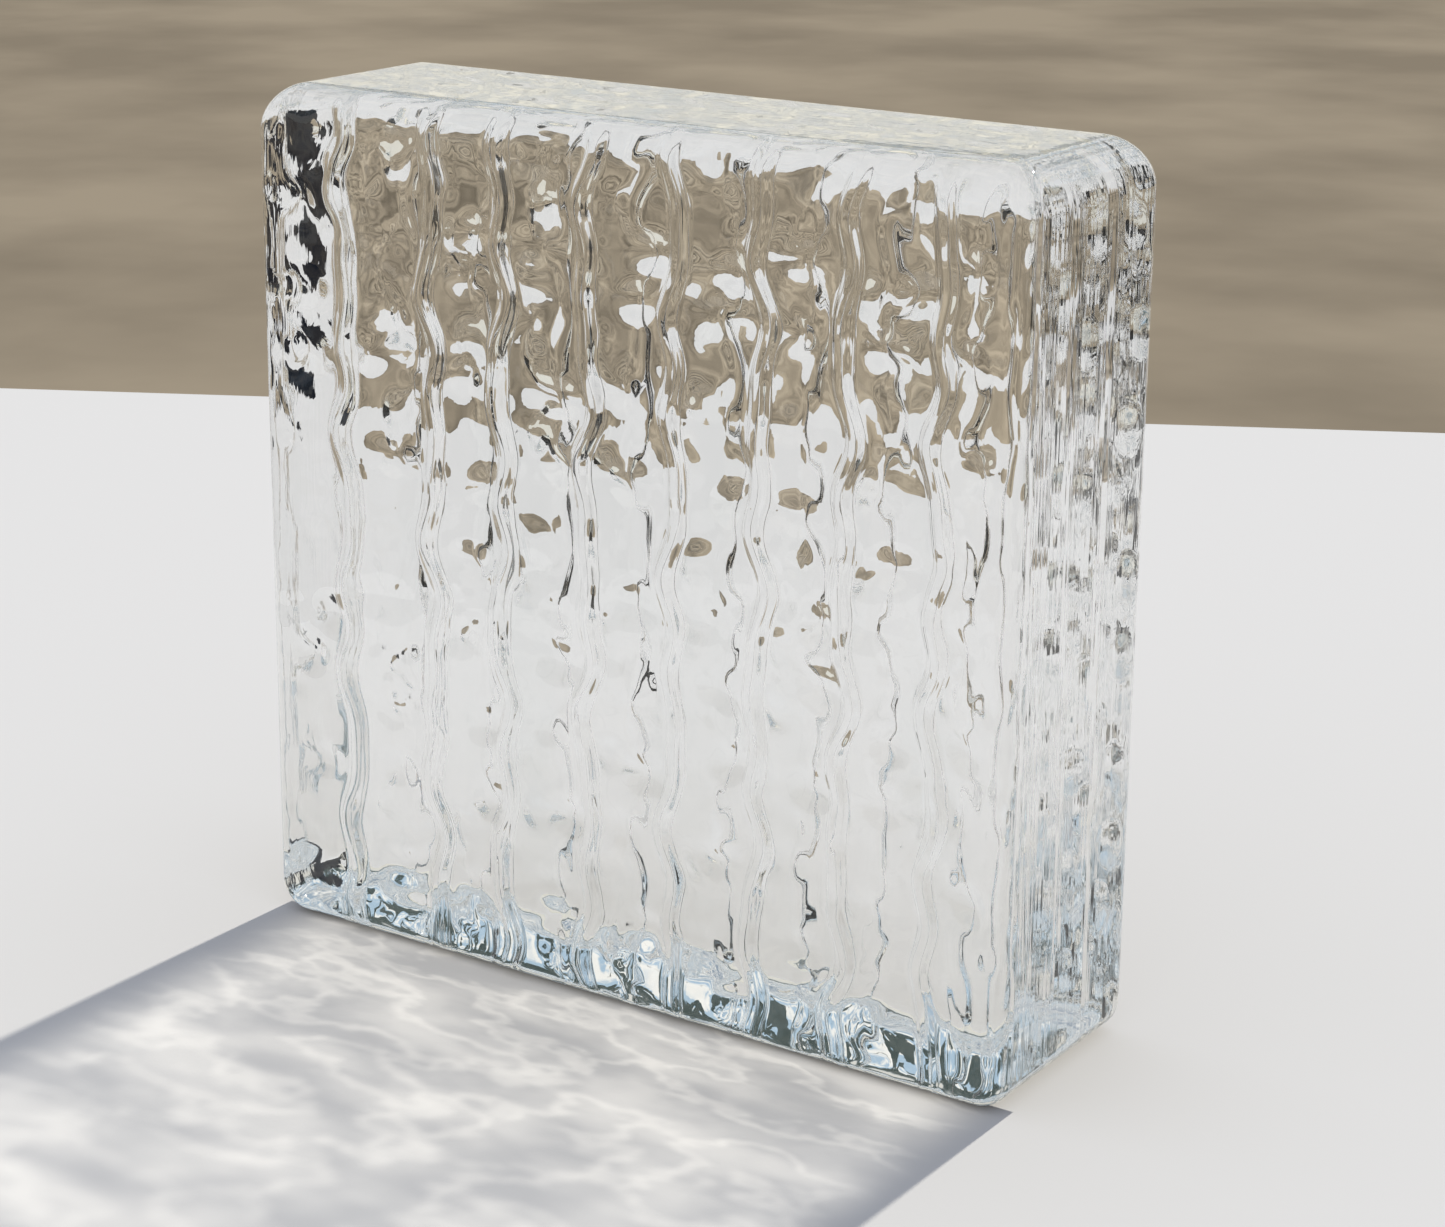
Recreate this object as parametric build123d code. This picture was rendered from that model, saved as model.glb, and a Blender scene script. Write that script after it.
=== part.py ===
"""Solid cast glass block with wavy upright flutes on both large faces.

The block is one piece of glass: a square slab with rounded edges, and wavy ridges that part the flutes of
its two large faces. It stands on its narrow bottom face, with its width along X, its thickness along Y and
its height along Z. The origin is the centre of the bottom, and the front is at -Y. All lengths are in
millimetres.
"""

import math
import os

from build123d import *

# Block
WIDTH = 200.0
THICKNESS = 60.0  # over the ridges of both large faces
HEIGHT = 200.0
TOP_CORNER_RADIUS = 11.0  # corners of the square outline, seen from the front
BOTTOM_CORNER_RADIUS = 8.0
RIM_RADIUS = 5.0  # rounded edge between the floor of the flutes and the narrow sides
TOP_RIM_RADIUS = 8.5  # the same edge along the top, which is rounder

# Ridges: low ribs that run up a large face and fade away over the rims, with a flute between neighbours
FLUTE_DEPTH = 1.5
RIDGE_TOP_WIDTH = 1.0
SHOULDER_WIDTH = 1.3  # gentle slope on each side of a ridge's top
SHOULDER_DROP = 0.4
FLANK_WIDTH = 1.9  # steep slope from a shoulder to the ridge's foot
RIDGE_SEAT = 0.3  # how deep the foot of a ridge reaches into the slab
STATION_PITCH = 4.0  # spacing of a ridge's cross-sections up the face
RIM_STATIONS = 3
RIM_SWEEP = 84.0  # degrees of a rim that a ridge follows until it has faded away

# Sway: each ridge swings from side to side as the sum of three waves along its height
LONG_WAVE = 53.0
LONG_SWAY = 1.1
MIDDLE_WAVE = 29.0
MIDDLE_SWAY = 1.0
SHORT_WAVE = 19.0
SHORT_SWAY = 0.6
LONG_PHASE_SHARE = 0.382  # share of a wave by which each ridge is ahead of its left neighbour
MIDDLE_PHASE_SHARE = 0.618
SHORT_PHASE_SHARE = 0.271
BACK_LEAD_SHARE = 5.3  # ridges by which the waves of the back are ahead of those of the front

# Places of the ridges across the width, from the left as seen from the front
FRONT_RIDGE_SHARES = (0.130, 0.255, 0.353, 0.468, 0.580, 0.690, 0.795, 0.905)
BACK_RIDGE_SHARES = (0.105, 0.210, 0.317, 0.421, 0.546, 0.650, 0.742, 0.850)

# Worked out from the sizes above
SLAB_THICKNESS = THICKNESS - 2 * FLUTE_DEPTH
RIDGE_HEIGHT = FLUTE_DEPTH + RIDGE_SEAT


def slab():
    """The block without its ridges: a square with rounded corners and rims, the rims rounder along the top.

    Returns:
        The solid, standing on the XY plane.
    """
    outline = Rectangle(WIDTH, HEIGHT)
    outline = fillet(outline.vertices().group_by(Axis.Y)[-1], TOP_CORNER_RADIUS)
    outline = fillet(outline.vertices().group_by(Axis.Y)[0], BOTTOM_CORNER_RADIUS)
    upright = Plane.XZ.offset(-SLAB_THICKNESS / 2) * Pos(0, HEIGHT / 2) * outline
    solid = extrude(upright, SLAB_THICKNESS)
    front, *_, back = solid.faces().sort_by(Axis.Y)
    solid = fillet(front.edges() + back.edges(), RIM_RADIUS)
    profile = Rectangle(SLAB_THICKNESS, HEIGHT)
    profile = fillet(profile.vertices().group_by(Axis.Y)[-1], TOP_RIM_RADIUS)
    return solid & extrude(Plane.YZ.offset(-WIDTH / 2) * Pos(0, HEIGHT / 2) * profile, WIDTH)


def sway(lead, z):
    """How far a ridge stands to the right of its own place at a height.

    Args:
        lead: how many ridges its waves are ahead of those of the first ridge.
        z: height above the bottom.
    """
    long_turn = z / LONG_WAVE + LONG_PHASE_SHARE * lead
    middle_turn = z / MIDDLE_WAVE + MIDDLE_PHASE_SHARE * lead
    short_turn = z / SHORT_WAVE + SHORT_PHASE_SHARE * lead
    return (
        LONG_SWAY * math.sin(math.tau * long_turn)
        + MIDDLE_SWAY * math.sin(math.tau * middle_turn)
        + SHORT_SWAY * math.sin(math.tau * short_turn)
    )


def rim_steps(radius):
    """Where a ridge's top lies over a rim, until it has sunk into the slab.

    Args:
        radius: radius of the rim.

    Returns:
        Pairs of a distance from the end of the block and a fall from the level top of the ridge.
    """
    steps = []
    for step in range(1, RIM_STATIONS + 1):
        angle = math.radians(RIM_SWEEP * step / RIM_STATIONS)
        steps.append((radius * (1 - math.sin(angle)), (radius + RIDGE_HEIGHT) * (1 - math.cos(angle))))
    return steps


def stations():
    """Heights of a ridge's cross-sections, and how far its top lies from the middle plane at each.

    Up the face the top is level. Over a rim it follows the curve of the slab and sinks into it.

    Returns:
        Pairs of a height and a distance, from the bottom up.
    """
    length = HEIGHT - RIM_RADIUS - TOP_RIM_RADIUS
    count = max(1, round(length / STATION_PITCH))
    face = [(RIM_RADIUS + length * step / count, THICKNESS / 2) for step in range(count + 1)]
    foot = [(drop, THICKNESS / 2 - fall) for drop, fall in rim_steps(RIM_RADIUS)]
    top = [(HEIGHT - drop, THICKNESS / 2 - fall) for drop, fall in rim_steps(TOP_RIM_RADIUS)]
    return foot[::-1] + face + top


def ridge_section(x, reach, z, side):
    """Cross-section of a ridge: a flat top, then a shoulder and a flank on each side, down to a flat foot.

    Args:
        x: middle of the ridge.
        reach: distance of its top from the middle plane.
        z: height of the section.
        side: -1 for the front face, 1 for the back face.

    Returns:
        The section as a face.
    """
    top = RIDGE_TOP_WIDTH / 2
    shoulder = top + SHOULDER_WIDTH
    foot = shoulder + FLANK_WIDTH
    half = [(foot, reach - RIDGE_HEIGHT), (shoulder, reach - SHOULDER_DROP), (top, reach)]
    right = [(x + out, side * y) for out, y in half]
    left = [(x - out, side * y) for out, y in reversed(half)]
    return Plane.XY.offset(z) * make_face(Polyline(right + left, close=True))


def ridges(ridge_shares, side, lead):
    """The ridges of one large face.

    Args:
        ridge_shares: places of the ridges from the left, as shares of the width.
        side: -1 for the front face, 1 for the back face.
        lead: how many ridges the waves are ahead of those of the front face.

    Returns:
        One solid for each ridge.
    """
    solids = []
    for number, share in enumerate(ridge_shares):
        middle = WIDTH * share - WIDTH / 2
        sections = [ridge_section(middle + sway(number + 1 + lead, z), reach, z, side) for z, reach in stations()]
        solids.append(loft(sections, ruled=True))
    return solids


def glass_block():
    """The finished block, with ridges on the front and the back."""
    front = ridges(FRONT_RIDGE_SHARES, -1, 0)
    back = ridges(BACK_RIDGE_SHARES, 1, BACK_LEAD_SHARE)
    return slab() + front + back


os.makedirs("parts", exist_ok=True)
export_step(glass_block(), "parts/glass_block.step")
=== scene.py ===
"""Looks of a solid cast glass block with wavy upright flutes, on a pale table in soft daylight.

Everything is in metres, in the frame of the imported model: the block stands on its bottom face at the origin,
its width along X, its thickness along Y and its height along Z, with the front at -Y.
"""

import logging
import math
from dataclasses import dataclass, field
from enum import Enum

import bpy
import numpy as np
from mathutils import Matrix, Vector


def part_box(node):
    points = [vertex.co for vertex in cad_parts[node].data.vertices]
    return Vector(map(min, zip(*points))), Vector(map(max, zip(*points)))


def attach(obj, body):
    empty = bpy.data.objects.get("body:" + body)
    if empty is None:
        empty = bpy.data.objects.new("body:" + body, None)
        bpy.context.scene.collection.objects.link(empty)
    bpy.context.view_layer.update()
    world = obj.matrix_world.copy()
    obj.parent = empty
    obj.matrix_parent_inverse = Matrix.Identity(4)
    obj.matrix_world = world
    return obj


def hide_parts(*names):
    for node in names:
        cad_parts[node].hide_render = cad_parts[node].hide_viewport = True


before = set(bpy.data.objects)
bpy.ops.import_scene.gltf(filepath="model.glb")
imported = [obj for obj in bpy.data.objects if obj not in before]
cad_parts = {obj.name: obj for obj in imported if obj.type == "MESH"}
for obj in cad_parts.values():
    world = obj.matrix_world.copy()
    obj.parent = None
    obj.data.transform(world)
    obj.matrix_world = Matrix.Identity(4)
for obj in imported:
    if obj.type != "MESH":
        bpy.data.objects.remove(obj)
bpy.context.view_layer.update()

LOG = logging.getLogger("glass_block")
MILLIMETRE = 0.001
TINY = 1e-7  # lengths and shares below this count as none
MAX_BOUNCES = 18
GLASS_BOUNCES = 14

Pair = tuple[float, float]
Triple = tuple[float, float, float]
Socket = bpy.types.NodeSocket
Value = Socket | float
Feeds = dict[str | int, Value | Triple]


class Face(Enum):
    """The two fluted faces, by the direction in which each looks along Y."""

    FRONT = -1
    BACK = 1


class Ray(Enum):
    """Kinds of rays that can be told to pass a sheet of the stage by."""

    CAMERA = "camera"
    DIFFUSE = "diffuse"
    GLOSSY = "glossy"
    TRANSMISSION = "transmission"
    SHADOW = "shadow"
    VOLUME = "volume_scatter"


@dataclass(frozen=True)
class Lumps:
    """A stretched noise."""

    scale: Triple  # lumps along X, Y and Z, to a metre or to a unit of direction
    detail: float = 2.0  # how many finer layers it has


class NodeMaths:
    """Shorthand for arithmetic in a node tree."""

    def __init__(self, tree: bpy.types.NodeTree) -> None:
        """Keeps the tree that the nodes go into."""
        self.tree = tree

    def feed(self, socket: Socket, value: Value | Triple) -> None:
        """Links a socket to another, or sets its value.

        Args:
            socket: the input.
            value: an output socket or a plain value.
        """
        if isinstance(value, Socket):
            self.tree.links.new(value, socket)
        else:
            socket.default_value = value

    def node(self, kind: str, feeds: Feeds | None = None, **settings: object) -> bpy.types.Node:
        """Adds a node.

        Args:
            kind: identifier of the node's type.
            feeds: sockets or plain values for its inputs, by the inputs' names or numbers.
            settings: properties to set on it first.

        Returns:
            The new node.
        """
        node = self.tree.nodes.new(kind)
        for name, value in settings.items():
            setattr(node, name, value)
        for name, value in (feeds or {}).items():
            self.feed(node.inputs[name], value)
        return node

    def maths(self, operation: str, *values: Value) -> Socket:
        """Adds a Math node with values for its inputs, in order."""
        return self.node("ShaderNodeMath", dict(enumerate(values)), operation=operation).outputs[0]

    def plus(self, first: Value, second: Value) -> Socket:
        """Adds two numbers."""
        return self.maths("ADD", first, second)

    def minus(self, first: Value, second: Value) -> Socket:
        """Takes the second number from the first."""
        return self.maths("SUBTRACT", first, second)

    def times(self, first: Value, *others: Value) -> Socket:
        """Multiplies numbers.

        Args:
            first: the first number.
            others: the others, in order.

        Returns:
            Their product.
        """
        for other in others:
            first = self.maths("MULTIPLY", first, other)
        return first

    def between(self, share: Value, low: Value, high: Value) -> Socket:
        """Gives the number that lies a share of the way from low to high."""
        return self.plus(self.times(share, self.minus(high, low)), low)

    def wave(self, along: Value, length: Value, phase: Value) -> Socket:
        """Gives a sine with one turn for each length, ahead by phase as a share of a turn."""
        turns = self.plus(self.maths("DIVIDE", along, length), phase)
        return self.maths("SINE", self.times(turns, math.tau))

    def ease(self, value: Value, start: Value, end: Value) -> Socket:
        """Gives a soft step that follows a value, from 0 at its start to 1 at its end."""
        feeds = {"Value": value, "From Min": start, "From Max": end}
        return self.node("ShaderNodeMapRange", feeds, interpolation_type="SMOOTHSTEP").outputs["Result"]

    def bowl(self, away: Value, radius: Value) -> Socket:
        """Gives a round hollow's depth, from 0 at its radius to 1 in its middle, level at both."""
        share = self.maths("MINIMUM", self.maths("DIVIDE", away, radius), 1.0)
        return self.maths("POWER", self.minus(1.0, self.times(share, share)), 2.0)

    def attribute(self, name: str) -> Socket:
        """Reads a number that the cage holds at each point."""
        node = self.node("GeometryNodeInputNamedAttribute", {"Name": name}, data_type="FLOAT")
        return node.outputs["Attribute"]

    def split(self, place: Socket) -> bpy.types.NodeOutputs:
        """Splits a place into outputs named X, Y and Z."""
        return self.node("ShaderNodeSeparateXYZ", {0: place}).outputs

    def stretch(self, place: Socket, scale: Triple) -> Socket:
        """Scales a place along X, Y and Z."""
        return self.node("ShaderNodeVectorMath", {0: place, 1: scale}, operation="MULTIPLY").outputs[0]

    def noise(self, place: Socket, lumps: Lumps) -> Socket:
        """Reads a stretched noise at a place, as a number from 0 to 1."""
        feeds = {"Vector": self.stretch(place, lumps.scale), "Scale": 1.0, "Detail": lumps.detail}
        return self.node("ShaderNodeTexNoise", feeds).outputs[0]

    def cells(self, place: Socket, dimensions: str, stray: Value) -> bpy.types.NodeOutputs:
        """Adds cells of size 1, each with a spot that strays by a share of the cell, and a random colour."""
        feeds = {"Vector": place, "Scale": 1.0, "Randomness": stray}
        return self.node("ShaderNodeTexVoronoi", feeds, voronoi_dimensions=dimensions).outputs

    def mixed(self, share: Socket, first: Socket | Triple, second: Socket | Triple) -> Socket:
        """Mixes two colours.

        Args:
            share: share of the second.
            first: a socket or a plain colour.
            second: a socket or a plain colour.

        Returns:
            The mixed colour.
        """
        ends = [(*end, 1.0) if isinstance(end, tuple) else end for end in (first, second)]
        feeds = {"Factor": share, "A": ends[0], "B": ends[1]}
        return self.node("ShaderNodeMix", feeds, data_type="RGBA").outputs["Result"]

    def ramp(self, value: Socket, stops: tuple[tuple[float, Triple], ...]) -> Socket:
        """Runs through colours.

        Args:
            value: what they follow.
            stops: values in rising order, each with the colour there.

        Returns:
            The colour.
        """
        node = self.node("ShaderNodeValToRGB", {"Fac": value})
        elements = node.color_ramp.elements
        for place, _ in stops[1:-1]:
            elements.new(place)
        for element, (place, colour) in zip(elements, stops):
            element.position = place
            element.color = (*colour, 1.0)
        return node.outputs["Color"]


def new_material(name: str) -> tuple[bpy.types.Material, NodeMaths]:
    """Makes a material with nodes.

    Args:
        name: its name.

    Returns:
        The material, and the arithmetic of its tree.
    """
    material = bpy.data.materials.new(name)
    material.use_nodes = True
    return material, NodeMaths(material.node_tree)


def placed(name: str, data: bpy.types.ID) -> bpy.types.Object:
    """Adds an object to the scene.

    Args:
        name: its name.
        data: its mesh, lamp or camera.

    Returns:
        The object, at the origin.
    """
    item = bpy.data.objects.new(name, data)
    bpy.context.scene.collection.objects.link(item)
    return item


@dataclass(frozen=True)
class CastSkin:
    """Fine streaks on the narrow sides of cast glass, and striae in it, as a shader group."""

    top_streaks: Lumps = Lumps((140.0, 300.0, 0.0))
    top_height: float = 0.12 * MILLIMETRE
    side_streaks: Lumps = Lumps((0.0, 330.0, 14.0))  # streaks of the upright narrow sides
    side_height: float = 0.22 * MILLIMETRE  # height of those streaks on the right side
    left_share: float = 0.25  # their height on the left side, as a share of that
    rim_share: float = 0.3  # value of face_share at which the streaks have faded out over the rim
    top_shares: Pair = (0.3, 0.8)  # values of lift_share between which the upright sides turn into the top
    striae: Lumps = Lumps((60.0, 60.0, 14.0))  # striae of denser glass
    stria_range: Pair = (0.45, 0.70)  # values of their noise where they start and where they are full

    def group(self) -> bpy.types.NodeTree:
        """Builds the group.

        Returns:
            A shader group whose output Height is in metres, and whose output Stria goes from 0 to 1.
        """
        tree = bpy.data.node_groups.new("cast_skin", "ShaderNodeTree")
        for name in ("Height", "Stria"):
            tree.interface.new_socket(name, in_out="OUTPUT", socket_type="NodeSocketFloat")
        n = NodeMaths(tree)
        place = n.node("ShaderNodeTexCoord").outputs["Object"]
        facing = n.node("ShaderNodeAttribute", attribute_name="face_share").outputs["Fac"]
        lift = n.node("ShaderNodeAttribute", attribute_name="lift_share").outputs["Fac"]
        narrow = n.ease(n.maths("ABSOLUTE", facing), self.rim_share, 0.0)
        upright, level = self.top_shares
        top = n.times(n.ease(lift, upright, level), self.top_height)
        dragged = n.maths("MAXIMUM", n.maths("GREATER_THAN", n.split(place)["X"], 0.0), self.left_share)
        side = n.times(n.ease(n.maths("ABSOLUTE", lift), level, upright), dragged, self.side_height)
        above = n.times(n.noise(place, self.top_streaks), top)
        beside = n.times(n.noise(place, self.side_streaks), side)
        height = n.times(n.plus(above, beside), narrow)
        stria = n.ease(n.noise(place, self.striae), *self.stria_range)
        n.node("NodeGroupOutput", {"Height": height, "Stria": stria})
        return tree


@dataclass(frozen=True)
class ClearGlass:
    """Clear cast glass, fire-polished over a finely uneven skin."""

    tint: Triple = (0.962, 0.968, 0.962)  # colour of the glass
    stria_tint: Triple = (0.925, 0.940, 0.932)  # colour of the striae in it
    ior: float = 1.5  # index of refraction of soda-lime glass
    roughness: float = 0.0  # roughness of the polished skin
    skin: CastSkin = field(default_factory=CastSkin)  # the skin's relief

    def material(self) -> bpy.types.Material:
        """Makes the glass material.

        Returns:
            A material with a Principled shader that transmits all light.
        """
        material, n = new_material("clear_glass")
        shader = material.node_tree.nodes["Principled BSDF"]
        shader.inputs["Roughness"].default_value = self.roughness
        shader.inputs["IOR"].default_value = self.ior
        shader.inputs["Transmission Weight"].default_value = 1.0
        skin = n.node("ShaderNodeGroup", node_tree=self.skin.group()).outputs
        bump = n.node("ShaderNodeBump", {"Distance": 1.0, "Height": skin["Height"]})
        n.feed(shader.inputs["Base Color"], n.mixed(skin["Stria"], self.tint, self.stria_tint))
        n.feed(shader.inputs["Normal"], bump.outputs["Normal"])
        return material


@dataclass
class FaceGrid:
    """Lattice of one fluted face, before it is rounded."""

    points: np.ndarray
    place: np.ndarray  # place of each point, counted in flutes from the left border
    span: np.ndarray  # width of the flute that each point is in
    quads: np.ndarray
    border: np.ndarray  # the points round its border, in order


@dataclass
class BlockCage:
    """The smooth block before its flutes: a lattice over a rounded square slab."""

    low: Vector  # lowest corner of the block
    high: Vector  # highest corner
    # For each fluted face, the places of its ridges as shares of the width
    ridge_shares: dict[Face, tuple[float, ...]]
    ridge_rise: float  # height of the ridges above the floor of the flutes
    top_corner: float = 11 * MILLIMETRE  # radius of the two upper corners of the outline
    bottom_corner: float = 8 * MILLIMETRE  # radius of the two lower corners
    # Radius of the round edge between the floor of the flutes and the narrow sides
    rim: float = 5 * MILLIMETRE
    top_rim: float = 8.5 * MILLIMETRE  # radius of that edge along the top
    melt: float = 5 * MILLIMETRE  # how much larger that radius is at the right end of the front
    melt_start: float = 30 * MILLIMETRE  # X at which the melted stretch starts
    flute_steps: int = 22  # columns of faces across a flute
    crowding: float = 0.5  # how much closer together the columns are at the ridges, from 0 to 1
    rim_steps: int = 4  # faces over half of the rim's curve
    row_height: float = 1.1 * MILLIMETRE
    side_step: float = 4 * MILLIMETRE  # length of a face across a narrow side

    @property
    def middle_z(self) -> float:
        """Height of the block's middle."""
        return (self.low.z + self.high.z) / 2

    def ridge_lines(self, face: Face) -> np.ndarray:
        """Places the edges and ridges of a fluted face.

        Args:
            face: the face.

        Returns:
            X of the left border, of each ridge and of the right border.
        """
        width = self.high.x - self.low.x
        ridges = [self.low.x + share * width for share in self.ridge_shares[face]]
        return np.array([self.low.x + self.rim, *ridges, self.high.x - self.rim])

    def columns(self, face: Face) -> tuple[np.ndarray, np.ndarray]:
        """Spaces the lattice across a fluted face, closest together at the ridges.

        Args:
            face: the face.

        Returns:
            X of each column, and its place counted in flutes from the left border.
        """
        lines = self.ridge_lines(face)
        flutes = len(lines) - 1
        steps = np.arange(self.flute_steps) / self.flute_steps
        eased = steps - self.crowding * np.sin(2 * np.pi * steps) / (2 * np.pi)
        place = np.append((np.arange(flutes)[:, None] + eased).ravel(), flutes)
        across = np.interp(place, np.arange(len(lines)), lines)
        edge = np.linspace(0, self.rim, self.rim_steps + 1)[:-1]
        x = np.concatenate([self.low.x + edge, across, self.high.x - edge[::-1]])
        return x, np.pad(place, len(edge), mode="edge")

    def rows(self) -> np.ndarray:
        """Spaces the lattice up the block.

        Returns:
            Z of each row.
        """
        foot = self.low.z + np.linspace(0, self.rim, self.rim_steps + 1)
        top = self.high.z - np.linspace(self.top_rim, 0, self.rim_steps + 1)
        count = round((top[0] - foot[-1]) / self.row_height)
        return np.concatenate([foot, np.linspace(foot[-1], top[0], count + 1)[1:-1], top])

    def layers(self) -> np.ndarray:
        """Spaces the lattice through the block.

        Returns:
            Y of each layer.
        """
        edge = np.linspace(0, self.top_rim + self.ridge_rise, 2 * self.rim_steps + 1)
        near, far = self.low.y + edge, self.high.y - edge[::-1]
        count = round((far[0] - near[-1]) / self.side_step)
        return np.concatenate([near, np.linspace(near[-1], far[0], count + 1)[1:-1], far])

    def outline(self, flat: np.ndarray) -> tuple[np.ndarray, np.ndarray, np.ndarray]:
        """Finds the point of the rounded outline that belongs to each point of the square.

        Args:
            flat: X of each point, and its height from the block's middle.

        Returns:
            The outline's points and the directions that it faces there, both for the quarter where X and the
            height are positive, and how far each point of the square lies inside.
        """
        half = np.array([self.high.x, self.high.z - self.middle_z])
        corner = np.where(flat[:, 1:] > 0, self.top_corner, self.bottom_corner)
        beside = np.abs(flat)
        reach = (beside - (half - corner)) / corner
        in_corner = (reach > 0).all(axis=1, keepdims=True)
        longer = np.maximum(reach.max(axis=1), TINY)
        shorter = reach.min(axis=1) / longer
        sideways = reach[:, 0] >= reach[:, 1]
        turn = np.where(sideways, shorter, 2 - shorter) * np.pi / 4
        straight = np.stack([sideways, ~sideways], axis=1).astype(float)
        normal = np.where(in_corner, np.stack([np.cos(turn), np.sin(turn)], axis=1), straight)
        depth = np.where(in_corner[:, 0], (1 - longer) * corner[:, 0], (half - beside).min(axis=1))
        outer = np.where(in_corner, half - corner * (1 - normal), np.where(normal > 0, half, beside))
        return outer, normal, depth

    def rims(self, x: np.ndarray, y: np.ndarray, upward: np.ndarray) -> np.ndarray:
        """Finds the radius of the rim, which is larger along the top and where the front's top has melted.

        Args:
            x: X of each point.
            y: Y of each point.
            upward: how far the outline faces up there, from 0 to 1.

        Returns:
            The radius for each point.
        """
        length = self.high.x - self.top_corner - self.melt_start
        melted = np.clip((x - self.melt_start) / length, 0, 1) ** 2
        melted = np.where(y < 0, melted * self.melt, 0)
        return self.rim + upward**2 * (self.top_rim - self.rim + melted)

    def rounded(self, points: np.ndarray) -> tuple[np.ndarray, np.ndarray, np.ndarray]:
        """Rounds the corners of the outline and the rims of a box's lattice.

        Args:
            points: lattice points on the sharp box.

        Returns:
            The same points on the rounded block, and how far each faces along Y and along Z, from -1 to 1.
        """
        x, y, z = points.T
        flat = np.stack([x, z - self.middle_z], axis=1)
        sign = np.where(flat < 0, -1.0, 1.0)
        outer, normal, depth = self.outline(flat)
        from_face = self.high.y - np.abs(y)
        on_face = from_face < TINY
        on_side = depth < TINY
        rim = self.rims(x, y, np.where(sign[:, 1] > 0, normal[:, 1], 0))
        sunk = rim + self.ridge_rise
        share = np.where(on_face, np.clip(depth / rim, 0, 1), -np.clip(from_face / sunk, 0, 1))
        angle = (1 + share) * np.pi / 4
        inset = np.where(on_face, np.maximum(depth - rim, 0), 0) + rim * (1 - np.cos(angle))
        inset = np.where(on_face | on_side, inset, depth)
        rise = sunk * (1 - np.sin(angle)) + np.where(on_face, 0, np.maximum(from_face - sunk, 0))
        flat = (outer - normal * inset[:, None]) * sign
        moved = np.stack([flat[:, 0], np.sign(y) * (self.high.y - rise), flat[:, 1] + self.middle_z], axis=1)
        return moved, np.sign(y) * np.sin(angle), sign[:, 1] * normal[:, 1] * np.cos(angle)

    def grid(self, face: Face, y: float, start: int) -> FaceGrid:
        """Lays the lattice of a fluted face.

        Args:
            face: the face.
            y: its Y.
            start: number of its first point.

        Returns:
            The lattice.
        """
        x, flutes = self.columns(face)
        rows = self.rows()
        widths = np.diff(self.ridge_lines(face))
        grid_x, grid_z = np.meshgrid(x, rows, indexing="ij")
        points = np.stack([grid_x.ravel(), np.full(grid_x.size, y), grid_z.ravel()], axis=1)
        place = np.repeat(flutes, len(rows))
        span = widths[np.minimum(place.astype(int), len(widths) - 1)]
        number = start + np.arange(grid_x.size).reshape(grid_x.shape)
        corners = [number[:-1, :-1], number[1:, :-1], number[1:, 1:], number[:-1, 1:]]
        quads = np.stack(corners if face is Face.FRONT else corners[::-1], axis=-1).reshape(-1, 4)
        border = np.concatenate([number[:-1, 0], number[-1, :-1], number[:0:-1, -1], number[0, :0:-1]])
        return FaceGrid(points, place, span, quads, border)

    def mesh(self) -> bpy.types.Mesh:
        """Builds the closed mesh of quads.

        Returns:
            A mesh whose points hold the attributes flute_place, flute_span, face_share and lift_share.
        """
        layers = self.layers()
        front = self.grid(Face.FRONT, layers[0], 0)
        back = self.grid(Face.BACK, layers[-1], len(front.points))
        points = np.concatenate([front.points, back.points])
        place = np.concatenate([front.place, back.place])
        span = np.concatenate([front.span, back.span])
        faces = [front.quads, back.quads]

        # Rings of points round the narrow sides, each joined to the one before it
        first, last = points[front.border], points[back.border]
        near = front.border
        for y in layers[1:]:
            far = back.border
            if y < layers[-1]:
                far = len(points) + np.arange(len(near))
                nearest = front.border if y < 0 else back.border
                share = (y - layers[0]) / (layers[-1] - layers[0])
                points = np.concatenate([points, first + (last - first) * share])
                place = np.append(place, place[nearest])
                span = np.append(span, span[nearest])
            faces.append(np.stack([near, far, np.roll(far, -1), np.roll(near, -1)], axis=-1))
            near = far

        moved, facing, lift = self.rounded(points)
        mesh = bpy.data.meshes.new("glass_block_cage")
        mesh.from_pydata(moved.tolist(), [], np.concatenate(faces).tolist())
        held = {"flute_place": place, "flute_span": span, "face_share": facing, "lift_share": lift}
        for name, values in held.items():
            data = mesh.attributes.new(name, "FLOAT", "POINT").data
            data.foreach_set("value", values.astype(np.float32))
        return mesh


@dataclass(frozen=True)
class Wave:
    """One sine of a wavy line."""

    length: float
    reach: float  # how far it swings to each side
    phase_share: float  # share of a turn by which each ridge is ahead of its left neighbour


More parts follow.
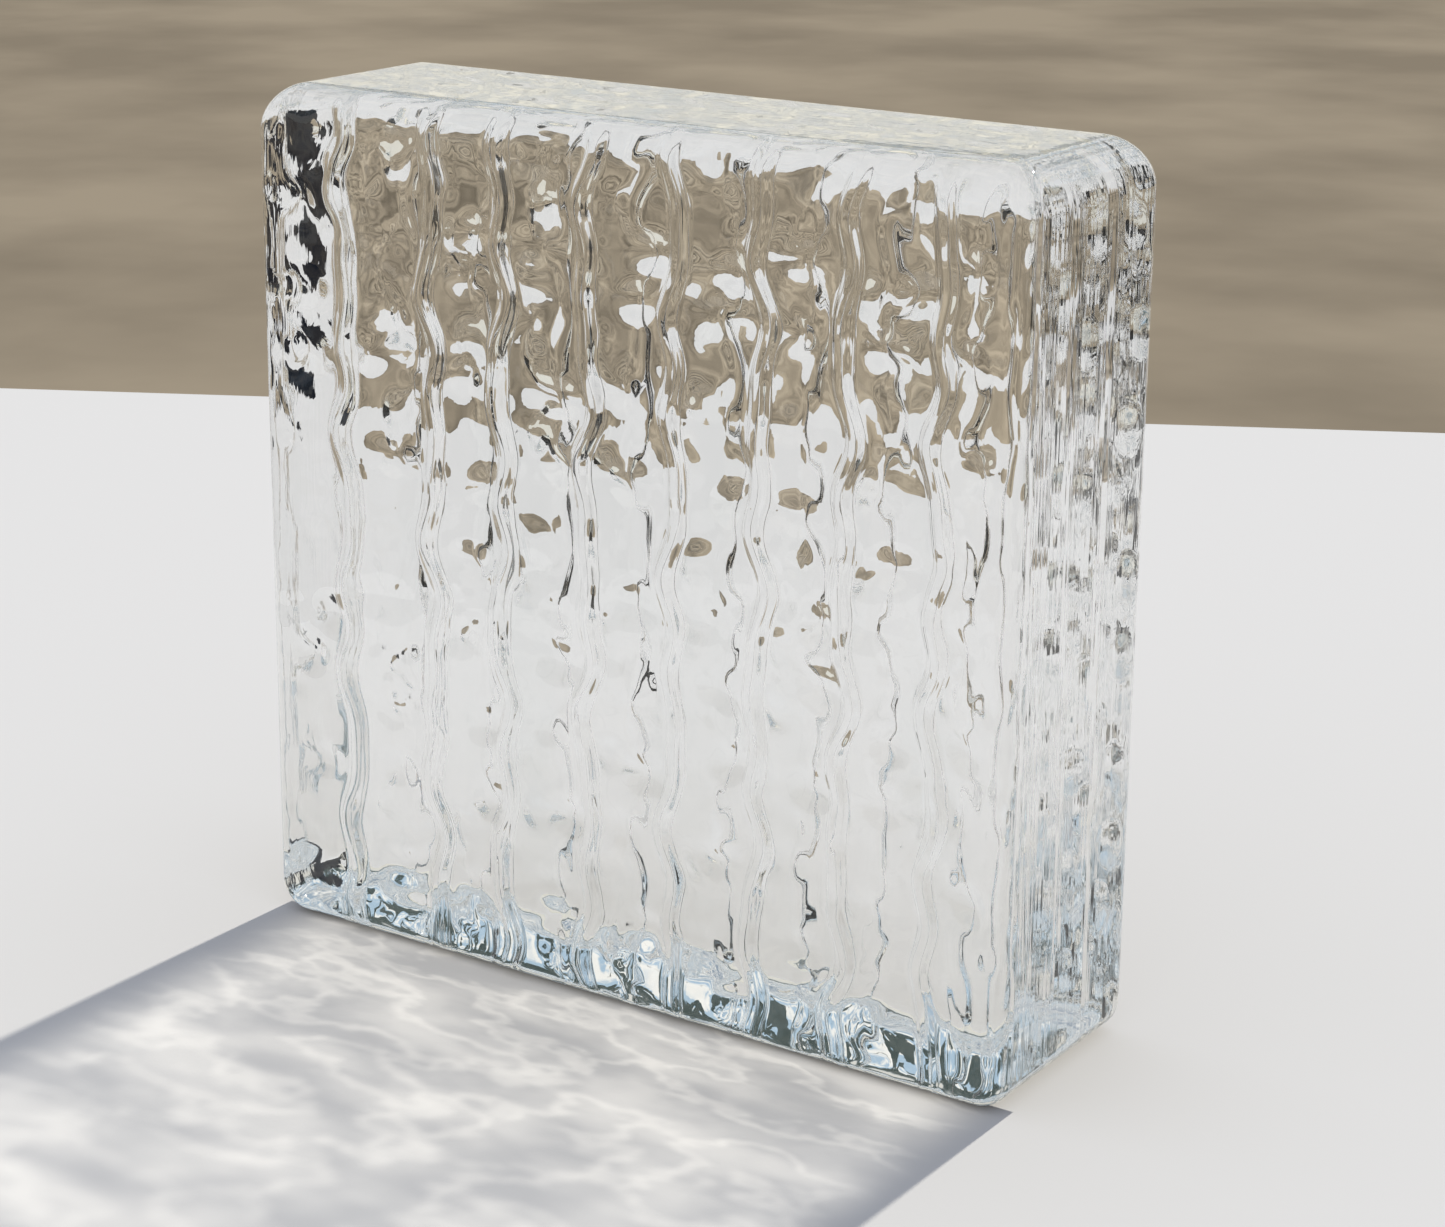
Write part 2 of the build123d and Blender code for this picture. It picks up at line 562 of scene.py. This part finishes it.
@dataclass
class Flutes:
    """Wavy flutes in both large faces, as a Geometry Nodes tree."""

    depth: float = 1.5 * MILLIMETRE
    ridge: float = 1.5 * MILLIMETRE  # width of the flat top of the ridge between two flutes
    flank: float = 2.0 * MILLIMETRE  # width of the slope from the top of a ridge to the floor of a flute
    # Waves that add up to a ridge's sway from side to side
    sways: tuple[Wave, ...] = (
        Wave(53 * MILLIMETRE, 1.1 * MILLIMETRE, 0.382),
        Wave(29 * MILLIMETRE, 1.0 * MILLIMETRE, 0.618),
        Wave(19 * MILLIMETRE, 0.6 * MILLIMETRE, 0.271),
    )
    dimple_pitch: float = 19 * MILLIMETRE  # mean distance from one dimple of a flute's floor to the next
    dimple_depth: float = 1.7 * MILLIMETRE  # depth of the deepest dimples
    dimple_least_share: float = 0.25  # depth of the shallowest dimples as a share of that
    dimple_radius_share: float = 0.32  # radius of a dimple as a share of the pitch
    dimple_stray_share: float = 0.6  # how far dimples stray from an even row, as a share of the pitch
    pit_scale: Triple = (130.0, 90.0, 85.0)  # small pits of the fluted faces in a metre, along X, Y and Z
    pit_radius_share: float = 0.42  # radius of a pit as a share of its cell
    pit_depth: float = 0.55 * MILLIMETRE
    pit_stray_share: float = 1.0  # how far pits stray from even rows
    ripples: Lumps = Lumps((190.0, 190.0, 60.0))  # ripples of the fluted faces
    ripple_height: float = 0.18 * MILLIMETRE
    skin: Lumps = Lumps((110.0, 110.0, 45.0), 1.0)  # lumps of the skin
    skin_height: float = 0.12 * MILLIMETRE
    side_skin_share: float = 0.3  # height of the lumps on the narrow sides, as a share of skin_height
    fade_shares: Pair = (0.55, 0.97)  # values of face_share between which a ridge fades out over the rim
    # Value of face_share at which the pits and ripples have faded out over the rim
    relief_share: float = 0.8
    back_turn_share: float = 5.3  # how many flutes the waves of the back are ahead of those of the front
    back_dimple_share: float = 10.0  # how much further than the waves the dimples of the back are moved on

    def sizes(self) -> dict[str, float]:
        """Names the tree's inputs.

        Returns:
            The value of each input.
        """
        sizes = {
            "Depth": self.depth,
            "Ridge": self.ridge,
            "Flank": self.flank,
            "Dimple Pitch": self.dimple_pitch,
            "Dimple Depth": self.dimple_depth,
            "Dimple Least": self.dimple_least_share,
            "Dimple Radius": self.dimple_radius_share,
            "Dimple Stray": self.dimple_stray_share,
            "Pit Radius": self.pit_radius_share,
            "Pit Depth": self.pit_depth,
            "Pit Stray": self.pit_stray_share,
            "Ripple Height": self.ripple_height,
            "Skin Height": self.skin_height,
            "Side Skin": self.side_skin_share,
            "Back Turn": self.back_turn_share,
            "Back Dimples": self.back_dimple_share,
        }
        for number, wave in enumerate(self.sways):
            sizes[f"Sway {number} Length"] = wave.length
            sizes[f"Sway {number} Reach"] = wave.reach
            sizes[f"Sway {number} Phase"] = wave.phase_share
        return sizes

    def sway(self, n: NodeMaths, given: bpy.types.NodeOutputs, z: Socket, ridge: Socket) -> Value:
        """Adds up the waves of a ridge.

        Args:
            n: the tree's arithmetic.
            given: outputs of the tree's input node.
            z: height on the block.
            ridge: number of the ridge.

        Returns:
            Their sum.
        """
        total = 0.0
        for number in range(len(self.sways)):
            phase = n.times(ridge, given[f"Sway {number} Phase"])
            wave = n.wave(z, given[f"Sway {number} Length"], phase)
            total = n.plus(total, n.times(wave, given[f"Sway {number} Reach"]))
        return total

    def section(
        self, n: NodeMaths, given: bpy.types.NodeOutputs, z: Socket, lead: Socket, last: float
    ) -> tuple[Socket, Socket]:
        """Sets a point between the ridges to its left and right, which don't sway at the block's own sides.

        Args:
            n: the tree's arithmetic.
            given: outputs of the tree's input node.
            z: height on the block.
            lead: how many flutes the waves are ahead.
            last: number of the last flute.

        Returns:
            How far the point slides along X, and how far it has come down the flank of the nearest ridge,
            from 0 on the ridge's top to 1 on the floor of the flute.
        """
        place = n.attribute("flute_place")
        flute = n.maths("MINIMUM", n.maths("FLOOR", place), last)
        across = n.minus(place, flute)
        has_left = n.maths("GREATER_THAN", flute, 0.0)
        has_right = n.maths("LESS_THAN", flute, last)
        sways = []
        for step, there in ((0.0, has_left), (1.0, has_right)):
            ridge = n.plus(n.plus(flute, step), lead)
            sways.append(n.times(self.sway(n, given, z, ridge), there))
        width = n.plus(n.attribute("flute_span"), n.minus(sways[1], sways[0]))
        away = 1.0
        for share, there in ((across, has_left), (n.minus(1.0, across), has_right)):
            away = n.maths("MINIMUM", away, n.plus(n.times(share, width), n.minus(1.0, there)))
        half = n.maths("DIVIDE", given["Ridge"], 2.0)
        return n.between(across, *sways), n.ease(away, half, n.plus(half, given["Flank"]))

    def dimples(self, n: NodeMaths, given: bpy.types.NodeOutputs, z: Socket, place: Socket) -> Socket:
        """Scatters dimples along the flutes, one to each length of the pitch.

        Args:
            n: the tree's arithmetic.
            given: outputs of the tree's input node.
            z: height on the block.
            place: place across the face, counted in flutes.

        Returns:
            Their depth.
        """
        start = n.maths("DIVIDE", n.minus(given["Dimple Stray"], 1.0), 2.0)
        feeds = {"X": n.plus(place, start), "Y": n.maths("DIVIDE", z, given["Dimple Pitch"])}
        spot = n.node("ShaderNodeCombineXYZ", feeds).outputs[0]
        cells = n.cells(spot, "2D", given["Dimple Stray"])
        bowl = n.bowl(cells["Distance"], given["Dimple Radius"])
        share = n.between(n.split(cells["Color"])["X"], given["Dimple Least"], 1.0)
        return n.times(bowl, n.times(share, given["Dimple Depth"]))

    def relief(
        self, n: NodeMaths, given: bpy.types.NodeOutputs, position: Socket, turned: Socket
    ) -> Socket:
        """Lays lumps all over the skin, with pits and ripples on the fluted faces.

        Args:
            n: the tree's arithmetic.
            given: outputs of the tree's input node.
            position: place on the block.
            turned: how far the surface faces to the front or the back, from 0 to 1.

        Returns:
            How far the surface lies inwards.
        """
        lumps = n.times(n.noise(position, self.skin), given["Skin Height"])
        skin = n.times(lumps, n.maths("MAXIMUM", turned, given["Side Skin"]))
        cells = n.cells(n.stretch(position, self.pit_scale), "3D", given["Pit Stray"])
        pit = n.times(n.bowl(cells["Distance"], given["Pit Radius"]), given["Pit Depth"])
        trough = n.minus(1.0, n.noise(position, self.ripples))
        ripple = n.times(trough, given["Ripple Height"])
        return n.plus(skin, n.times(n.plus(pit, ripple), n.ease(turned, self.relief_share, 1.0)))

    def tree(self, flute_count: int, material: bpy.types.Material) -> bpy.types.NodeTree:
        """Builds the tree that moves the cage's points to the fluted shape.

        Args:
            flute_count: flutes on each face.
            material: the block's material.

        Returns:
            The tree.
        """
        tree = bpy.data.node_groups.new("wavy_flutes", "GeometryNodeTree")
        tree.interface.new_socket("Geometry", in_out="INPUT", socket_type="NodeSocketGeometry")
        for name in self.sizes():
            tree.interface.new_socket(name, in_out="INPUT", socket_type="NodeSocketFloat")
        tree.interface.new_socket("Geometry", in_out="OUTPUT", socket_type="NodeSocketGeometry")
        n = NodeMaths(tree)
        given = n.node("NodeGroupInput").outputs
        position = n.node("GeometryNodeInputPosition").outputs[0]
        z = n.split(position)["Z"]
        facing = n.attribute("face_share")
        turned = n.maths("ABSOLUTE", facing)
        lead = n.times(n.maths("GREATER_THAN", facing, 0.0), given["Back Turn"])
        slide, profile = self.section(n, given, z, lead, flute_count - 1.0)

        # Dimples along the floor, which end at the rim as the ridges do
        fade = n.ease(turned, *self.fade_shares)
        place = n.plus(n.attribute("flute_place"), n.times(lead, given["Back Dimples"]))
        floor = n.plus(given["Depth"], n.times(self.dimples(n, given, z, place), fade))
        cut = n.times(n.maths("MAXIMUM", profile, n.minus(1.0, fade)), floor)

        sunk = n.times(cut, n.times(facing, -1.0))
        push = n.node("ShaderNodeCombineXYZ", {"X": n.times(slide, turned), "Y": sunk}).outputs[0]
        normal = n.node("GeometryNodeInputNormal").outputs[0]
        raised = n.times(self.relief(n, given, position, turned), -1.0)
        skin = n.node("ShaderNodeVectorMath", {0: normal, "Scale": raised}, operation="SCALE").outputs[0]
        total = n.node("ShaderNodeVectorMath", {0: push, 1: skin}, operation="ADD").outputs[0]

        move = n.node("GeometryNodeSetPosition", {"Offset": total})
        smooth = n.node("GeometryNodeSetShadeSmooth")
        real = n.node("GeometryNodeRealizeInstances")
        dress = n.node("GeometryNodeSetMaterial", {"Material": material})
        made = given["Geometry"]
        for step in (move, smooth, real, dress):
            n.feed(step.inputs["Geometry"], made)
            made = step.outputs[0]
        n.node("NodeGroupOutput", {0: made})
        return tree


@dataclass
class GlassBlock:
    """The block: its cage, its flutes and its glass."""

    glass: ClearGlass = field(default_factory=ClearGlass)
    flutes: Flutes = field(default_factory=Flutes)
    # For each face, the places of its ridges as shares of the width
    ridge_shares: dict[Face, tuple[float, ...]] = field(
        default_factory=lambda: {
            Face.FRONT: (0.130, 0.255, 0.353, 0.468, 0.580, 0.690, 0.795, 0.905),
            Face.BACK: (0.105, 0.210, 0.317, 0.421, 0.546, 0.650, 0.742, 0.850),
        }
    )

    def build(self) -> bpy.types.Object:
        """Builds the block as one plain mesh.

        Returns:
            The finished object, which rides on the frame and stands for its CAD node.
        """
        low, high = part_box("glass_block")
        cage = BlockCage(low, high, self.ridge_shares, self.flutes.depth)
        start = placed("glass_block_cage", cage.mesh())
        tree = self.flutes.tree(len(self.ridge_shares[Face.FRONT]) + 1, self.glass.material())
        modifier = start.modifiers.new("flutes", "NODES")
        modifier.node_group = tree
        sizes = self.flutes.sizes()
        for item in tree.interface.items_tree:
            if item.name in sizes:
                modifier[item.identifier] = sizes[item.name]
        graph = bpy.context.evaluated_depsgraph_get()
        mesh = bpy.data.meshes.new_from_object(start.evaluated_get(graph))
        bpy.data.objects.remove(start)
        mesh.name = "glass_block_cast"
        block = placed("glass_block_cast", mesh)
        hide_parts("glass_block")
        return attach(block, "root")


@dataclass(frozen=True)
class Matt:
    """A plain matt finish."""

    colour: Triple
    roughness: float

    def material(self, name: str) -> bpy.types.Material:
        """Makes the material.

        Args:
            name: its name.

        Returns:
            The material.
        """
        material, _ = new_material(name)
        shader = material.node_tree.nodes["Principled BSDF"]
        shader.inputs["Base Color"].default_value = (*self.colour, 1.0)
        shader.inputs["Roughness"].default_value = self.roughness
        shader.inputs["Specular IOR Level"].default_value = 0.0
        return material


@dataclass(frozen=True)
class EvenLight:
    """A finish that shows one brightness from everywhere."""

    colour: Triple

    def material(self, name: str) -> bpy.types.Material:
        """Makes the material.

        Args:
            name: its name.

        Returns:
            The material.
        """
        material, n = new_material(name)
        shine = n.node("ShaderNodeEmission", {"Color": (*self.colour, 1.0)})
        n.feed(material.node_tree.nodes["Material Output"].inputs["Surface"], shine.outputs[0])
        return material


@dataclass
class StageSheet:
    """A flat sheet of the stage."""

    name: str
    outline: list[Triple]  # its corners in order
    material: bpy.types.Material
    passed_by: tuple[Ray, ...] = ()  # kinds of rays that don't meet it

    def build(self) -> None:
        """Adds the sheet to the stage."""
        mesh = bpy.data.meshes.new(self.name)
        mesh.from_pydata(self.outline, [], [list(range(len(self.outline)))])
        mesh.materials.append(self.material)
        sheet = placed(self.name, mesh)
        for ray in self.passed_by:
            setattr(sheet, f"visible_{ray.value}", False)


@dataclass(frozen=True)
class Card:
    """A dark upright card beside the block, out of the camera's view."""

    start: Pair  # one lower corner, along the table's far edge and out towards it
    end: Pair  # the other lower corner
    foot: float  # height of its lower edge
    top: float  # height of its upper edge
    light: EvenLight  # its tone


@dataclass
class Studio:
    """A pale table with plain ground beyond its edge, under a soft sky and one lamp from behind."""

    edge_distance: float = 0.537  # distance from the block to the table's far edge
    edge_turn: float = 28.4  # how far that edge is turned about Z
    table_left: float = 0.50  # how far the table reaches to the left
    table_near: float = 0.25  # how far it reaches towards the camera
    table_reach: float = 1.6  # how far it reaches to the right
    table_gap: float = 0.2 * MILLIMETRE  # air between the table and the block's bottom face
    table_finish: Matt = Matt((0.80, 0.80, 0.80), 0.5)
    ground_radius: float = 14.0  # how far the ground reaches
    ground_steps: int = 96  # corners of its round outline
    ground_drop: float = 10 * MILLIMETRE  # how far it lies below the block's bottom face
    ground_finish: Matt = Matt((0.33, 0.28, 0.21), 0.8)
    ground_patches: Lumps = Lumps((5.0, 5.0, 5.0), 4.0)
    ground_shares: Pair = (0.8, 1.12)  # tones of its darkest and lightest patches, as shares of its colour
    ground_glass_shares: Pair = (0.5, 1.65)  # the same tones as the glass shows them
    ground_range: Pair = (0.35, 0.65)  # values of the noise where those two tones lie
    # Dark cards round the block
    cards: tuple[Card, ...] = (
        Card((0.30, 0.33), (1.30, 0.33), 0.0, 0.30, EvenLight((0.010, 0.012, 0.018))),
        Card((-0.17, -0.20), (-0.37, 0.50), 0.033, 0.12, EvenLight((0.025, 0.025, 0.024))),
    )
    # Colour of the sky at the sines of some angles above the horizon
    sky_colours: tuple[tuple[float, Triple], ...] = (
        (0.00, (0.75, 0.73, 0.65)),
        (0.18, (0.73, 0.72, 0.67)),
        (0.28, (0.46, 0.61, 0.73)),
        (0.50, (0.42, 0.57, 0.71)),
        (0.80, (0.30, 0.37, 0.44)),
        (1.00, (0.22, 0.29, 0.38)),
    )
    # Sines of the angles where the haze below the clouds and the dark shapes thins and ends
    haze_sines: Pair = (0.18, 0.24)
    clouds: Lumps = Lumps((9.0, 9.0, 16.0), 3.0)
    cloud_range: Pair = (0.47, 0.60)  # values of their noise where they start and where they are full
    cloud_colour: Triple = (0.98, 0.97, 0.92)  # colour of a full cloud
    skyline_colour: Triple = (0.06, 0.085, 0.08)  # colour of the dark shapes along the horizon
    skyline: Lumps = Lumps((13.0, 13.0, 3.25))  # noise of the heights of those shapes
    skyline_sines: Pair = (-0.26, 1.02)  # sines of the angles of their lowest and highest tops
    skyline_blur: float = 0.03  # how soft their tops are
    fill_colour: Triple = (0.39, 0.42, 0.49)  # light of the sky on the table and the ground
    backdrop_colour: Triple = (0.75, 0.75, 0.74)  # colour that the camera sees beyond the ground
    sun_colour: Triple = (1.06, 1.0, 0.88)
    sun_strength: float = 2.5
    sun_elevation: float = 45.0  # the lamp's angle above the horizontal
    sun_angle: float = 1.3  # how wide it looks

    def on_table(self, along: float, out: float, z: float) -> Triple:
        """Turns a place on the table into the block's frame.

        Args:
            along: distance along the table's far edge, to the right.
            out: distance from the block towards that edge.
            z: height.

        Returns:
            The point.
        """
        turn = math.radians(self.edge_turn)
        x = along * math.cos(turn) - out * math.sin(turn)
        y = along * math.sin(turn) + out * math.cos(turn)
        return (x, y, z)

    def table(self) -> None:
        """Lays the table top."""
        right, far = self.table_reach, self.edge_distance
        left, near = -self.table_left, -self.table_near
        corners = [(left, near), (right, near), (right, far), (left, far)]
        outline = [self.on_table(*corner, -self.table_gap) for corner in corners]
        StageSheet("table", outline, self.table_finish.material("pale_table")).build()

    def ground(self) -> None:
        """Lays the ground just below the table, quiet beside the block and livelier through its glass."""
        material = self.ground_finish.material("plain_ground")
        turns = [math.tau * step / self.ground_steps for step in range(self.ground_steps)]
        ring = [(math.cos(t) * self.ground_radius, math.sin(t) * self.ground_radius) for t in turns]
        StageSheet("ground", [(x, y, -self.ground_drop) for x, y in ring], material).build()
        n = NodeMaths(material.node_tree)
        place = n.node("ShaderNodeTexCoord").outputs["Object"]
        patches = n.noise(place, self.ground_patches)
        seen = []
        for shares in (self.ground_glass_shares, self.ground_shares):
            tones = [tuple(share * part for part in self.ground_finish.colour) for share in shares]
            seen.append(n.ramp(patches, tuple(zip(self.ground_range, tones))))
        colour = n.mixed(n.node("ShaderNodeLightPath").outputs["Is Camera Ray"], *seen)
        n.feed(material.node_tree.nodes["Principled BSDF"].inputs["Base Color"], colour)

    def dark_cards(self) -> None:
        """Stands dark cards round the block, out of view, for the glass to pick up."""
        for card in self.cards:
            low = [(*end, card.foot) for end in (card.start, card.end)]
            high = [(*end, card.top) for end in (card.end, card.start)]
            outline = [self.on_table(*corner) for corner in low + high]
            passed_by = (Ray.CAMERA, Ray.DIFFUSE, Ray.SHADOW)
            StageSheet("dark_card", outline, card.light.material("dark_card"), passed_by).build()

    def sky(self) -> None:
        """Lights the studio evenly, and shows a sky with haze, clouds and dark shapes to the glass."""
        world = bpy.data.worlds.new("sky")
        bpy.context.scene.world = world
        world.use_nodes = True
        n = NodeMaths(world.node_tree)
        direction = n.node("ShaderNodeTexCoord").outputs["Generated"]
        sine = n.split(direction)["Z"]
        above_haze = n.ease(sine, *self.haze_sines)
        cloud = n.ease(n.noise(direction, self.clouds), *self.cloud_range)
        clouded = n.mixed(n.times(cloud, above_haze), n.ramp(sine, self.sky_colours), self.cloud_colour)

        # Dark shapes, their height a noise over the direction
        top = n.between(n.noise(direction, self.skyline), *self.skyline_sines)
        clear = n.ease(n.minus(sine, top), 0.0, self.skyline_blur)
        clear = n.maths("MAXIMUM", clear, n.minus(1.0, above_haze))
        seen = n.mixed(clear, self.skyline_colour, clouded)

        path = n.node("ShaderNodeLightPath").outputs
        glass = n.maths("MAXIMUM", path["Is Glossy Ray"], path["Is Transmission Ray"])
        lit = n.mixed(glass, self.fill_colour, seen)
        shown = n.mixed(path["Is Camera Ray"], lit, self.backdrop_colour)
        n.feed(world.node_tree.nodes["Background"].inputs["Color"], shown)

    def lamp(self) -> None:
        """Hangs one distant lamp behind the block."""
        data = bpy.data.lights.new("sun", "SUN")
        data.energy = self.sun_strength
        data.color = self.sun_colour
        data.angle = math.radians(self.sun_angle)
        placed("sun", data).rotation_euler = (math.radians(self.sun_elevation) - math.pi / 2, 0, 0)

    def build(self) -> None:
        """Sets up the whole stage."""
        self.table()
        self.ground()
        self.dark_cards()
        self.sky()
        self.lamp()


@dataclass
class LightPattern:
    """Stand-ins for the light that the block's glass bends, because the lamp's own rays pass the block by.

    A sheet just inside the block's front, which only the lamp meets, makes the bright clouds in its
    shadow. A sheet under the block, which only the glass shows, makes the light that gathers there.
    """

    low: Vector  # lowest corner of the block
    high: Vector  # highest corner
    lamp_elevation: float  # the lamp's angle above the horizontal
    inset: float = 7.5 * MILLIMETRE  # how far behind the block's front the first sheet stands
    left_border: float = 24 * MILLIMETRE  # width of the dark stretch at its left
    right_border: float = 20 * MILLIMETRE  # width of the dark stretch at its right
    foot_border: float = 7 * MILLIMETRE  # height of the dark stretch at its foot
    dark_share: float = 0.12  # share of the light that passes in the dark stretches
    # Shares of the light that pass in the darkest and the brightest clouds
    cloud_shares: Pair = (0.60, 1.42)
    clouds: Lumps = Lumps((22.0, 0.0, 52.0), 5.0)
    cloud_range: Pair = (0.36, 0.66)  # values of their noise where they start and where they are full
    wisps: Lumps = Lumps((26.0, 0.0, 64.0), 4.0)
    wisp_middle: float = 0.5  # value of their noise along their middle
    wisp_width: float = 0.05  # how wide they are in their noise
    wisp_share: float = 0.38  # share of the wisps in the whole pattern
    glow_inset: float = 10 * MILLIMETRE  # how far inside the block's outline the second sheet ends
    glow_gap: float = 0.1 * MILLIMETRE  # how far below the block it lies
    glow_light: EvenLight = EvenLight((0.98, 0.92, 0.76))  # tone of its light

    def material(self) -> bpy.types.Material:
        """Makes the material of the first sheet.

        Returns:
            A clear material, whose colour is the share of the light that passes.
        """
        material, n = new_material("light_pattern")
        place = n.node("ShaderNodeTexCoord").outputs["Object"]
        cloud = n.ease(n.noise(place, self.clouds), *self.cloud_range)
        wisp = n.minus(n.noise(place, self.wisps), self.wisp_middle)
        wisp = n.ease(n.maths("ABSOLUTE", wisp), self.wisp_width, 0.0)
        passed = n.between(n.between(self.wisp_share, cloud, wisp), *self.cloud_shares)
        split = n.split(place)
        inside = n.times(
            n.ease(split["X"], self.low.x, self.low.x + self.left_border),
            n.ease(split["X"], self.high.x, self.high.x - self.right_border),
            n.ease(split["Z"], self.low.z, self.low.z + self.foot_border),
        )
        share = n.between(inside, self.dark_share, passed)
        clear = n.node("ShaderNodeBsdfTransparent", {"Color": share})
        n.feed(material.node_tree.nodes["Material Output"].inputs["Surface"], clear.outputs[0])
        return material

    def pattern(self) -> None:
        """Stands the first sheet."""
        low, high = self.low, self.high
        top = high.z + self.inset * math.tan(math.radians(self.lamp_elevation))
        corners = ((low.x, low.z), (high.x, low.z), (high.x, top), (low.x, top))
        outline = [(x, low.y + self.inset, z) for x, z in corners]
        passed_by = (Ray.CAMERA, Ray.DIFFUSE, Ray.GLOSSY, Ray.TRANSMISSION, Ray.VOLUME)
        StageSheet("light_pattern", outline, self.material(), passed_by).build()

    def glow(self) -> None:
        """Lays the second sheet."""
        low, high = self.low, self.high
        left, near = low.x + self.glow_inset, low.y + self.glow_inset
        right, far = high.x - self.glow_inset, high.y - self.glow_inset
        corners = ((left, near), (right, near), (right, far), (left, far))
        outline = [(x, y, low.z - self.glow_gap) for x, y in corners]
        passed_by = (Ray.CAMERA, Ray.DIFFUSE, Ray.GLOSSY, Ray.SHADOW, Ray.VOLUME)
        light = self.glow_light.material("light_under_block")
        StageSheet("light_under_block", outline, light, passed_by).build()

    def build(self, block: bpy.types.Object) -> None:
        """Sets up both sheets, and lets the lamp's rays pass the block by.

        Args:
            block: the finished block.
        """
        self.pattern()
        self.glow()
        block.visible_shadow = False


@dataclass(frozen=True)
class PhotoCamera:
    """The camera of the photograph."""

    photo_width: float = 1445.0  # width of the photograph in pixels
    focal_px: float = 3238.0  # focal length in pixels
    # How far the block's centre lies right of and below the photograph's centre
    target_px: Pair = (-37.4, -61.2)
    azimuth: float = 34.4  # turn round the block, from straight in front towards +X
    elevation: float = 16.37  # angle above the horizontal
    roll: float = 0.34  # turn about the line of sight
    distance: float = 0.725  # distance to the block's centre
    sensor: float = 36.0  # width of the sensor in millimetres

    def place(self, target: Vector) -> None:
        """Sets the scene's camera up.

        Args:
            target: the block's centre.
        """
        data = bpy.data.cameras.new("camera")
        data.sensor_width = self.sensor
        data.lens = self.sensor * self.focal_px / self.photo_width
        data.shift_x = -self.target_px[0] / self.photo_width
        data.shift_y = self.target_px[1] / self.photo_width
        camera = placed("camera", data)
        azimuth, elevation = math.radians(self.azimuth), math.radians(self.elevation)
        back = Vector((math.sin(azimuth), -math.cos(azimuth), math.tan(elevation))).normalized()
        turn = back.to_track_quat("Z", "Y").to_matrix().to_4x4()
        roll = Matrix.Rotation(math.radians(self.roll), 4, "Z")
        camera.matrix_world = Matrix.Translation(target + back * self.distance) @ turn @ roll
        bpy.context.scene.camera = camera


def main() -> None:
    """Builds the block and its studio."""
    logging.basicConfig(level=logging.INFO, format="%(name)s: %(message)s")
    scene = bpy.context.scene
    scene.view_settings.view_transform = "Standard"
    scene.cycles.max_bounces = MAX_BOUNCES
    scene.cycles.glossy_bounces = GLASS_BOUNCES
    scene.cycles.transmission_bounces = GLASS_BOUNCES
    scene.cycles.caustics_refractive = False
    scene.cycles.caustics_reflective = False
    block = GlassBlock().build()
    block.data.calc_loop_triangles()
    LOG.info("%s: %d triangles", block.name, len(block.data.loop_triangles))
    studio = Studio()
    studio.build()
    low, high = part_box("glass_block")
    LightPattern(low, high, studio.sun_elevation).build(block)
    PhotoCamera().place((low + high) / 2)


if __name__ == "__main__":
    main()
